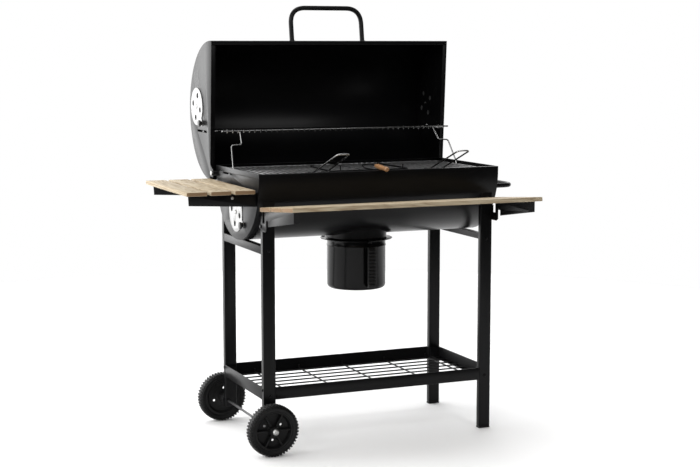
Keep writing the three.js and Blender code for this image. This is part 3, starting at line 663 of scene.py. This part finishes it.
for i in range(3):
    seat = round_from(MIDDLE + Vector((0, 0, bucket_flange - 0.0033)), STUD_RING, -90 + 120 * i)
    studs.append(turned("stud", [(0, 0), (0.0057, 0), (0.0065, 0.0008), (0.0065, 0.0022), (0.0057, 0.003),
                                 (0.003, 0.003),
                                 (0.003, 0.0085), (0.0056, 0.0085), (0.0056, 0.0112), (0, 0.0118)], seat,
                                 (0, 0, 1), 24))
fitted(eased(joined("ash_collar_made", [collar, *studs]), 0), "frame", black_coat, "black_paint",
       "ash_collar")

WALL = 0.0015
bucket = turned("ash_bucket_made", [
    (0, bucket_low.z), (BUCKET_R - 0.014, bucket_low.z), (BUCKET_R - 0.008, bucket_low.z + 0.001),
    (BUCKET_R - 0.003, bucket_low.z + 0.0045), (BUCKET_R - 0.0006, bucket_low.z + 0.009),
    (BUCKET_R, bucket_low.z + 0.014),
    (BUCKET_R, bucket_flange - 0.022), (BUCKET_R + 0.0015, bucket_flange - 0.0195),
    (BUCKET_R + 0.0015, bucket_flange - 0.0165),
    (BUCKET_R, bucket_flange - 0.014), (BUCKET_R, bucket_flange - 0.002), (BUCKET_R + 0.002, bucket_flange),
    (0.1055, bucket_flange), (0.1065, bucket_flange + 0.001), (0.1065, bucket_high.z - 0.001),
    (0.1055, bucket_high.z),
    (BUCKET_R + 0.001, bucket_high.z), (BUCKET_R - WALL, bucket_high.z - 0.0025),
    (BUCKET_R - WALL, bucket_low.z + 0.014),
    (BUCKET_R - 0.014, bucket_low.z + WALL), (0, bucket_low.z + WALL)], (MIDDLE.x, MIDDLE.y, 0), (0, 0, 1),
    96)
for i in range(3):
    keyhole = round_from(MIDDLE + Vector((0, 0, bucket_high.z)), STUD_RING, -30 + 120 * i)
    cut_by(bucket, rounder(0.008, 0.02, keyhole, (0, 0, 1)))
grip_low, grip_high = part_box("bucket_grip")
strap_y = grip_high.y + 0.0013
wall_y = MIDDLE.y - BUCKET_R + 0.0002
foot_low, foot_high = grip_low.z + 0.002, grip_high.z - 0.002
strap_x = MIDDLE.x - 0.009
strap = swept("strap", [Vector((strap_x, y, z)) for y, z in [
    (wall_y, foot_low + 0.016), (wall_y, foot_low + 0.003), (wall_y - 0.003, foot_low),
    (strap_y + 0.003, foot_low),
    (strap_y, foot_low + 0.003), (strap_y, foot_high - 0.003), (strap_y + 0.003, foot_high),
    (wall_y - 0.003, foot_high),
    (wall_y, foot_high - 0.003), (wall_y, foot_high - 0.016)]], 0.018, SHEET)
fitted(eased(joined("ash_bucket_made", [bucket, strap]), 0), "ash_bucket", gloss_black, "gloss_enamel",
       "ash_bucket")

# The grip is moulded with a deep groove between each two ribs.
GRIP_RIBS = 11
grip_front, grip_back = grip_low.y, grip_high.y
pitch = (grip_high.z - grip_low.z - 0.008) / GRIP_RIBS
ribbed = [(grip_back, grip_low.z), (grip_front + 0.004, grip_low.z),
          (grip_front + 0.001, grip_low.z + 0.004)]
for i in range(GRIP_RIBS):
    z = grip_low.z + 0.004 + i * pitch
    ribbed += [(grip_front, z + pitch * 0.2), (grip_front, z + pitch * 0.62),
               (grip_front + 0.0035, z + pitch * 0.74),
               (grip_front + 0.0035, z + pitch * 0.96)]
ribbed += [(grip_front + 0.004, grip_high.z), (grip_back, grip_high.z)]
grip = chain("bucket_grip_made", [Vector((grip_low.x, y, z)) for y, z in ribbed])
bpy.ops.mesh.edge_face_add()
bpy.ops.mesh.extrude_region_move(TRANSFORM_OT_translate={"value": (grip_high.x - grip_low.x, 0, 0)})
bpy.ops.mesh.select_all(action="SELECT")
bpy.ops.mesh.normals_make_consistent(inside=False)
done()
fitted(eased(grip, 0.0006), "ash_bucket", black_plastic, "black_knob", "bucket_grip")

# ---- Grates -----------------------------------------------------------------------------------
# Two cooking grids of dull plated wire lie on the ledges, each with a bright handle that
# stands up over the front. Two heavier charcoal grates lie lower, in the drum's curve.
grate_steel, place = finish_from("dull_plated_wire")
soot = place.noise(26, 4).between(0.42, 0.72)
paint(grate_steel, Base_Color=soot.mix((0.40, 0.40, 0.405), (0.21, 0.205, 0.20)),
      Roughness=0.34 + soot * 0.2,
      Metallic=0.9)
chrome, place = finish_from("bright_chromed_wire")
chrome_cloud = place.noise(300, 2)
paint(chrome, Base_Color=chrome_cloud.mix((0.20, 0.20, 0.20), (0.32, 0.32, 0.315)),
      Roughness=0.10 + chrome_cloud * 0.12,
      Metallic=1.0)
GRID_BARS, GRID_WIRE = 20, 0.002
for side in ("left", "right"):
    low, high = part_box("cooking_grid_" + side)
    bar_z = high.z - GRID_WIRE
    paths = [[(x, low.y + 0.0005, bar_z), (x, high.y - 0.0005, bar_z)]
             for x in evenly(low.x + GRID_WIRE, high.x - GRID_WIRE, GRID_BARS)]
    for y in (low.y + GRID_WIRE, high.y - GRID_WIRE):
        paths.append([(low.x, y, bar_z), (high.x, y, bar_z)])
    for y in evenly(low.y, high.y, 4)[1:3]:
        paths.append([(low.x, y, bar_z - 0.0035), (high.x, y, bar_z - 0.0035)])
    fitted(wires(f"cooking_grid_{side}_made", paths, GRID_WIRE, 2), "cooking_grid_" + side, grate_steel,
           "grey_grate",
           "cooking_grid_" + side)
    low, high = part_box("grid_handle_" + side)
    wire_r = 0.0025
    x, root_z = (low.x + high.x) / 2, low.z + wire_r
    bend_y = high.y - 0.036
    grip_y, grip_z = low.y + 0.002, high.z - wire_r
    path = bent([(x - 0.022, high.y, root_z), (x - 0.022, bend_y, root_z + 0.001),
                 (x - 0.020, grip_y, grip_z),
                 (x + 0.020, grip_y, grip_z), (x + 0.022, bend_y, root_z + 0.001),
                 (x + 0.022, high.y, root_z)], 0.016, 8)
    fitted(wires(f"grid_handle_{side}_made", [path], wire_r, 5), "cooking_grid_" + side, chrome,
           "chromed_wire",
           "grid_handle_" + side)
    low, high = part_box("charcoal_grate_" + side)
    coal_z = (low.z + high.z) / 2
    paths = [[(x, low.y + 0.0005, coal_z), (x, high.y - 0.0005, coal_z)]
             for x in evenly(low.x + 0.0025, high.x - 0.0025, 14)]
    for y in (low.y + 0.0025, high.y - 0.0025, (low.y + high.y) / 2):
        paths.append([(low.x, y, coal_z), (high.x, y, coal_z)])
    fitted(wires(f"charcoal_grate_{side}_made", paths, 0.0025, 2), "charcoal_grate_" + side, grate_steel,
           "grey_grate",
           "charcoal_grate_" + side)

# ---- Lid --------------------------------------------------------------------------------------
# The other half of the drum, of 2 mm sheet with a lip along both edges and a D-shaped plate
# in each end, standing open on its hinge bolts. A bent tube handle is bolted to its front.
lid_low, lid_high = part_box("lid_skin")
LID_R, LID_Y, LID_Z = 0.230, MIDDLE.y + 0.212, 1.052
LID_OPEN = math.radians(-86.4)
LID_LIP = 0.013


def from_lid(u, v):
    """The place of a point of the closed lid's end view, once the lid stands open."""
    return (LID_Y + u * math.cos(LID_OPEN) - v * math.sin(LID_OPEN),
            LID_Z + u * math.sin(LID_OPEN) + v * math.cos(LID_OPEN))


mid_r = LID_R - SHEET / 2 - 0.0001
lid_line = [(-LID_R + LID_LIP, 0.001), (-mid_r + 0.002, 0.001), (-mid_r, 0.003)]
lid_line += [(-mid_r * math.cos(math.pi * i / 72), mid_r * math.sin(math.pi * i / 72)) for i in range(1,
                                                                                                      72)]
lid_line += [(mid_r, 0.003), (mid_r - 0.002, 0.001), (LID_R - LID_LIP, 0.001)]
lid_points = [Vector((lid_low.x - SEAM, *from_lid(u, v))) for u, v in lid_line]
lid_skin = swept("lid_skin_made", lid_points, lid_high.x - lid_low.x + 2 * SEAM, SHEET)
fitted(lid_skin, "lid", black_coat, "black_paint", "lid_skin")
for name in ["lid_end_left", "lid_end_right"]:
    worked(name, 0.0006, black_coat, "black_paint")

HANDLE_R, HANDLE_HALF, HANDLE_HIGH = 0.008, 0.129, 0.114
lean = math.radians(180 - 12.4)


def over_lid(sx, height):
    reach = LID_R + height
    return Vector((MIDDLE.x + sx * HANDLE_HALF, *from_lid(reach * math.cos(lean), reach * math.sin(lean))))


handle_path = bent([over_lid(-1, 0.001), over_lid(-1, HANDLE_HIGH), over_lid(1, HANDLE_HIGH),
                    over_lid(1, 0.001)], 0.072, 14)
handle = [wires("lid_handle_made", [handle_path], HANDLE_R, 8)]
up = (over_lid(1, 0.1) - over_lid(1, 0)).normalized()
for sx in (-1, 1):
    handle.append(turned("foot", [(0, 0), (0.0125, 0), (0.0125, 0.0016), (HANDLE_R, 0.003), (0, 0.003)],
                         over_lid(sx, 0.0004), up, 32))
fitted(eased(joined("lid_handle_made", handle), 0), "lid", black_coat, "black_paint", "lid_handle")

# ---- Dampers ----------------------------------------------------------------------------------
# Speckled stainless discs with four holes and a bent tab. Each turns on a rivet over the holes
# in its end plate, which it covers at rest, moved by a small black knob.
stainless, place = finish_from("satin_stainless")
speck = place.noise(420, 4).between(0.35, 0.75)
drawn = place.noise(60, 3, (1, 1, 24))
paint(stainless, Base_Color=speck.mix((0.46, 0.46, 0.455), (0.17, 0.17, 0.17)),
      Roughness=0.24 + drawn * 0.25,
      Metallic=0.85, Normal=speck.bump(0.0001, 0.5))
knob_black, place = finish_from("heatproof_plastic")
paint(knob_black, Base_Color=(0.012, 0.012, 0.0125, 1), Roughness=0.28 + place.noise(80) * 0.12)
DISC_R, DISC_THICK, HOLE_R, HOLE_RING = 0.063, 0.0015, 0.0093, 0.0385
joints = {joint["name"]: joint for joint in frame["joints"]}
for name, joint, sx, first_hole in (
    ("lid_left", "damper_lid_left_turn", -1, 15.6),
    ("lid_right", "damper_lid_right_turn", 1, 15.6),
    ("barrel", "damper_barrel_turn", -1, 12),
):
    knob_low, knob_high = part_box("damper_knob_" + name)
    knob_x = knob_high.x if sx < 0 else knob_low.x
    face_x = knob_x - sx * 0.0003
    _, centre_y, centre_z = joints[joint]["pos_m"]
    middle = Vector((face_x - sx * DISC_THICK / 2, centre_y, centre_z))
    tab = Vector((0, (knob_low.y + knob_high.y) / 2 - centre_y, (knob_low.z + knob_high.z) / 2 - centre_z))
    disc = rounder(DISC_R, DISC_THICK, middle, (sx, 0, 0), 96)
    disc.name = "damper_made_" + name
    bpy.ops.object.select_all(action="DESELECT")
    bpy.ops.mesh.primitive_cube_add(size=1, scale=(DISC_THICK, 0.020, tab.length - 0.03))
    bpy.ops.object.transform_apply(location=True, rotation=True, scale=True)
    arm = bpy.context.object
    arm.data.transform(Matrix.Translation(middle) @ Vector((0, 0,
                                                            1)).rotation_difference(tab).to_matrix().to_4x4()
                       @ Matrix.Translation((0, 0, (tab.length - 0.03) / 2 + 0.03)))
    tip = rounder(0.010, DISC_THICK, middle + tab, (sx, 0, 0), 40)
    finished_by(disc, "BOOLEAN", object=arm, operation="UNION", solver="EXACT")
    finished_by(disc, "BOOLEAN", object=tip, operation="UNION", solver="EXACT")
    bpy.data.objects.remove(arm)
    bpy.data.objects.remove(tip)
    for i in range(4):
        angle = math.radians(first_hole + 90 * i)
        cut_by(disc, rounder(HOLE_R, 0.01, middle + Vector((0, math.cos(angle),
                                                            math.sin(angle))) * HOLE_RING, (1, 0, 0), 40))
    eased(disc, 0.0003)
    rivet = turned("rivet", [(0, -0.007), (0.003, -0.007), (0.003, 0), (0.0075, 0), (0.0075, 0.0008),
                             (0.0055, 0.0021),
                             (0.003, 0.0026), (0, 0.0027)], (face_x, centre_y, centre_z), (sx, 0, 0), 32)
    fitted(eased(joined("damper_made_" + name, [disc, rivet]), 0), body_of("damper_" + name), stainless,
           "bright_steel",
           "damper_" + name)
    knob = turned("damper_knob_made_" + name, [(0, 0), (0.0065, 0), (0.0065, 0.002), (0.0095, 0.003),
                                               (0.011, 0.005),
                                               (0.011, 0.0092), (0.0098, 0.0112), (0.006, 0.012),
                                               (0, 0.012)],
                  (knob_x, centre_y + tab.y, centre_z + tab.z), (sx, 0, 0), 36)
    fitted(knob, body_of("damper_" + name), knob_black, "black_knob", "damper_knob_" + name)

# ---- Warming rack -----------------------------------------------------------------------------
# A chromed wire rack hung in slots in the lid's ends at the back, and carried at the front by
# two bent wire legs that pivot in the barrel's ends, so it swings down as the lid shuts.
rack_low, rack_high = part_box("warming_rack")
rack_back_y, rack_back_z = joints["rack_pivot"]["pos_m"][1:]
leg_y0, leg_z0 = joints["rack_leg_left_pivot"]["pos_m"][1:]
hinge_y, hinge_z = joints["lid_hinge"]["pos_m"][1:]
front_y, front_z = leg_y0 + rack_back_y - hinge_y, leg_z0 + rack_back_z - hinge_z
RACK_ROD, RACK_WIRE = 0.003, 0.002
rack_half = (rack_high.x - rack_low.x) / 2 - 0.037
rack_x = (rack_low.x + rack_high.x) / 2
rack_paths = [[(rack_low.x, rack_back_y, rack_back_z), (rack_high.x, rack_back_y, rack_back_z)],
              [(rack_x - rack_half - 0.018, front_y, front_z),
               (rack_x + rack_half + 0.018, front_y, front_z)]]
rods = wires("warming_rack_made", rack_paths, RACK_ROD, 4)
cross = []
for x in evenly(rack_x - rack_half, rack_x + rack_half, 42):
    cross.append(bent([(x, front_y, front_z - 0.006), (x, front_y - 0.0035, front_z + 0.0035),
                       (x, front_y + 0.004, front_z + 0.0045),
                       (x, rack_back_y - 0.004, rack_back_z + 0.0045),
                       (x, rack_back_y + 0.003, rack_back_z + 0.003)], 0.002, 2))
for t in (0.33, 0.67):
    y, z = front_y + (rack_back_y - front_y) * t, front_z + (rack_back_z - front_z) * t
    cross.append([(rack_x - rack_half, y, z + 0.0015), (rack_x + rack_half, y, z + 0.0015)])
rack = joined("warming_rack_made", [rods, wires("cross", cross, RACK_WIRE, 2)])
fitted(eased(rack, 0), "warming_rack", chrome, "chromed_wire", "warming_rack")
for side, sx in (("left", -1), ("right", 1)):
    low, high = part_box("rack_leg_" + side)

    def leg_at(x, y, z):
        return Vector((MIDDLE.x + sx * x, y, z))

    path = bent([leg_at(0.419, leg_y0, leg_z0), leg_at(0.404, leg_y0, leg_z0),
                 leg_at(0.402, leg_y0 + 0.007, leg_z0 + 0.022),
                 leg_at(0.393, MIDDLE.y + 0.112, 0.944), leg_at(0.358, MIDDLE.y + 0.113, 0.946),
                 leg_at(0.352, front_y - 0.0044, front_z - 0.0047)], 0.007, 5)
    fitted(wires(f"rack_leg_{side}_made", [path], 0.0025, 5), "rack_leg_" + side, chrome, "chromed_wire",
           "rack_leg_" + side)

# ---- Grid lifter ------------------------------------------------------------------------------
# A fork of black wire with a turned hardwood handle, left lying on the cooking grids.
FORK_WIRE, FORK_FRONT = 0.0025, -0.113
fork_z = grid_high.z + 0.0003 + FORK_WIRE


def on_grid(x, y, z):
    return Vector((MIDDLE.x + x, MIDDLE.y + y, z))


fork = [wires("lifter_fork_made", [bent([on_grid(x, y, fork_z) for x, y in [
    (-0.121, 0.090), (-0.138, -0.040), (-0.138, FORK_FRONT), (0.140, FORK_FRONT), (0.140, -0.040),
    (0.130, 0.112)]], 0.022, 8)],
    FORK_WIRE, 5)]
fork.append(wires("ticks", [[on_grid(x, FORK_FRONT, fork_z), on_grid(x, FORK_FRONT,
                                                                 fork_z + 0.016)] for x in (-0.104, 0.116)],
                  0.002, 4))
fork.append(wires("neck", [bent([on_grid(0.008, FORK_FRONT, fork_z + 0.001), on_grid(0.013, -0.040, fork_z),
                                 on_grid(0.016, -0.006, 0.876), on_grid(0.024, -0.058, 0.883),
                                 on_grid(0.009, -0.136, 0.8835)], 0.012, 6)], 0.002, 4))
for x, y in ((-0.121, 0.090), (0.130, 0.112)):
    fork.append(turned("tip", [(0, 0), (0.0045, 0), (0.006, 0.0015), (0.006, 0.0055), (0.0045, 0.0072),
                               (0, 0.0075)],
                       on_grid(x, y, grid_high.z + 0.0003), (0, 0, 1), 24))
fitted(eased(joined("lifter_fork_made", fork), 0), "grid_lifter", black_wire, "black_paint", "lifter_fork")
tool_wood, place = finish_from("oiled_hardwood")
tool_grain = place.noise(60, 4, (3, 0.35, 3))
paint(tool_wood, Base_Color=tool_grain.mix((0.32, 0.165, 0.07), (0.18, 0.085, 0.03)),
      Roughness=0.38 + tool_grain * 0.2,
      Normal=tool_grain.bump(0.0002, 0.5))
handle_back, handle_front = on_grid(0.0085, -0.140, 0.8835), on_grid(-0.020, -0.290, 0.884)
length = (handle_front - handle_back).length
lifter_handle = turned("lifter_handle_made", [
    (0, 0), (0.0052, 0), (0.0058, 0.001), (0.0060, 0.008), (0.0080, 0.030), (0.0078, 0.070),
    (0.0066, 0.105), (0.0066, 0.118),
    (0.0078, 0.135), (0.0078, length - 0.008), (0.0062, length - 0.002), (0.004, length), (0, length)],
    handle_back, handle_front - handle_back, 40)
fitted(lifter_handle, "grid_lifter", tool_wood, "tool_wood", "lifter_handle")

# ---- Side shelf -------------------------------------------------------------------------------
# Three planed pine boards on two folded steel brackets, with one screw through each board
# into each bracket.
def pine(name, along):
    """Pale softwood whose grain runs along an axis, browner where the boards are cut across."""
    material, place = finish_from(name)
    stretch = [1.0 if i == along else 9.0 for i in range(3)]
    fine = [6.0 if i == along else 260.0 for i in range(3)]
    rings = place.noise(2.2, 3, stretch) * 11
    band = rings.math("PINGPONG", 0.5) * 2
    fibre = place.noise(1.0, 4, fine)
    wide = place.noise(3.0, 2)
    grain = (band * 0.65 + fibre * 0.35).between(0.1, 0.95)
    clear = grain.node("ValToRGB", {"Fac": grain}, stops=[
        (0.0, (0.21, 0.145, 0.08)), (1.0, (0.45, 0.375, 0.26)), (0.3, (0.33, 0.255, 0.16)),
        (0.65, (0.41, 0.335, 0.225))])
    tinted = (wide.between(0.35, 0.65) * 0.4).mix(clear, (0.36, 0.31, 0.23))
    face = place.node("TexCoord", out="Normal")
    end = face.node("SeparateXYZ", {"Vector": face}, out=along).math("ABSOLUTE").between(0.7, 0.95)
    paint(material, Base_Color=end.mix(tinted, (0.20, 0.125, 0.065)), Roughness=0.58 + fibre * 0.16,
          Specular_IOR_Level=0.3,
          Normal=(fibre + band * 0.3).bump(0.0003, 0.35))
    return material


def board(name, size, middle, tilt, screws):
    """A planed board with countersunk holes, each given from the board's own middle."""
    bpy.ops.object.select_all(action="DESELECT")
    bpy.ops.mesh.primitive_cube_add(size=1, scale=size)
    bpy.ops.object.transform_apply(location=True, rotation=True, scale=True)
    piece = bpy.context.object
    piece.name = name
    eased(piece, 0.0016, 3)
    lay = Matrix.Translation(middle) @ Matrix.Rotation(tilt, 4, "X")
    for x, y in screws:
        cut_by(piece, rounder(SCREW_HOLE, 0.006, (x, y, size[2] / 2), (0, 0, 1), 28))
    piece.data.transform(lay)
    heads = []
    for x, y in screws:
        head = bpy.data.objects.new("screw", screw.data.copy())
        bpy.context.scene.collection.objects.link(head)
        heads.append(stood(head, lay @ Vector((x, y, size[2] / 2 - 0.003)),
                           lay.to_3x3() @ Vector((0, 0, 1))))
    return eased(piece, 0, angle=30), heads


SCREW_HOLE = 0.0046
screw = turned("screw", [(0, 0), (0.0042, 0), (0.0042, 0.0008), (0.003, 0.0018), (0, 0.0021)], (0, 0, 0),
               (0, 0, 1), 24)
for turn in (0, 90):
    bpy.ops.object.select_all(action="DESELECT")
    bpy.ops.mesh.primitive_cube_add(size=1, location=(0, 0, 0.002), scale=(0.0042, 0.0009, 0.0016),
                                    rotation=(0, 0, math.radians(turn)))
    bpy.ops.object.transform_apply(location=True, rotation=True, scale=True)
    cut_by(screw, bpy.context.object)
for name in ["side_bracket_front", "side_bracket_rear"]:
    worked(name, 0.0006, black_coat, "black_paint")
pine_across = pine("planed_pine_across", 1)
side_heads = []
for i in (1, 2, 3):
    node = f"side_slat_{i}"
    low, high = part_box(node)
    piece, heads = board(node + "_made", high - low, (low + high) / 2, 0, [(0, -0.178), (0, 0.178)])
    side_heads += heads
    fitted(piece, "frame", pine_across, "pine", node)
fitted(eased(joined("side_shelf_screws", side_heads), 0), "frame", zinc, "zinc_steel")
bracket_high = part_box("side_bracket_front")[1]
bracket_seats = [((bracket_high.x - MIDDLE.x - 0.079, sy * 0.1902, 0.804), (0, sy, 0)) for sy in (-1, 1)]
bolts("side_bracket_bolts", "frame", bracket_seats, zinc, "zinc_steel")

# ---- Front shelf ------------------------------------------------------------------------------
# Three long pine boards on two steel brackets that hook over studs in the front legs and
# fold down on pivot pins.
for name in ["front_bracket_left", "front_bracket_right"]:
    worked(name, 0.0006, black_coat, "black_paint")
pine_along = pine("planed_pine_along", 0)
slat_boxes = [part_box(f"front_slat_{i}") for i in (1, 2, 3)]
slat_middles = [(low + high) / 2 for low, high in slat_boxes]
run = slat_middles[2] - slat_middles[0]
SLAT_GAP, SLAT_THICK = 0.005, 0.013
slat_deep = run.length / 2 - SLAT_GAP
front_heads = []
for i in (1, 2, 3):
    low, high = slat_boxes[i - 1]
    size = Vector((high.x - low.x, slat_deep, SLAT_THICK))
    piece, heads = board(f"front_slat_{i}_made", size, slat_middles[i - 1], -math.atan2(run.z, -run.y),
                         [(-0.392, 0), (0.392, 0)])
    front_heads += heads
    fitted(piece, "front_shelf", pine_along, "pine", f"front_slat_{i}")
fitted(eased(joined("front_shelf_screws", front_heads), 0), "front_shelf", zinc, "zinc_steel")
for sample in (button, screw):
    bpy.data.objects.remove(sample)
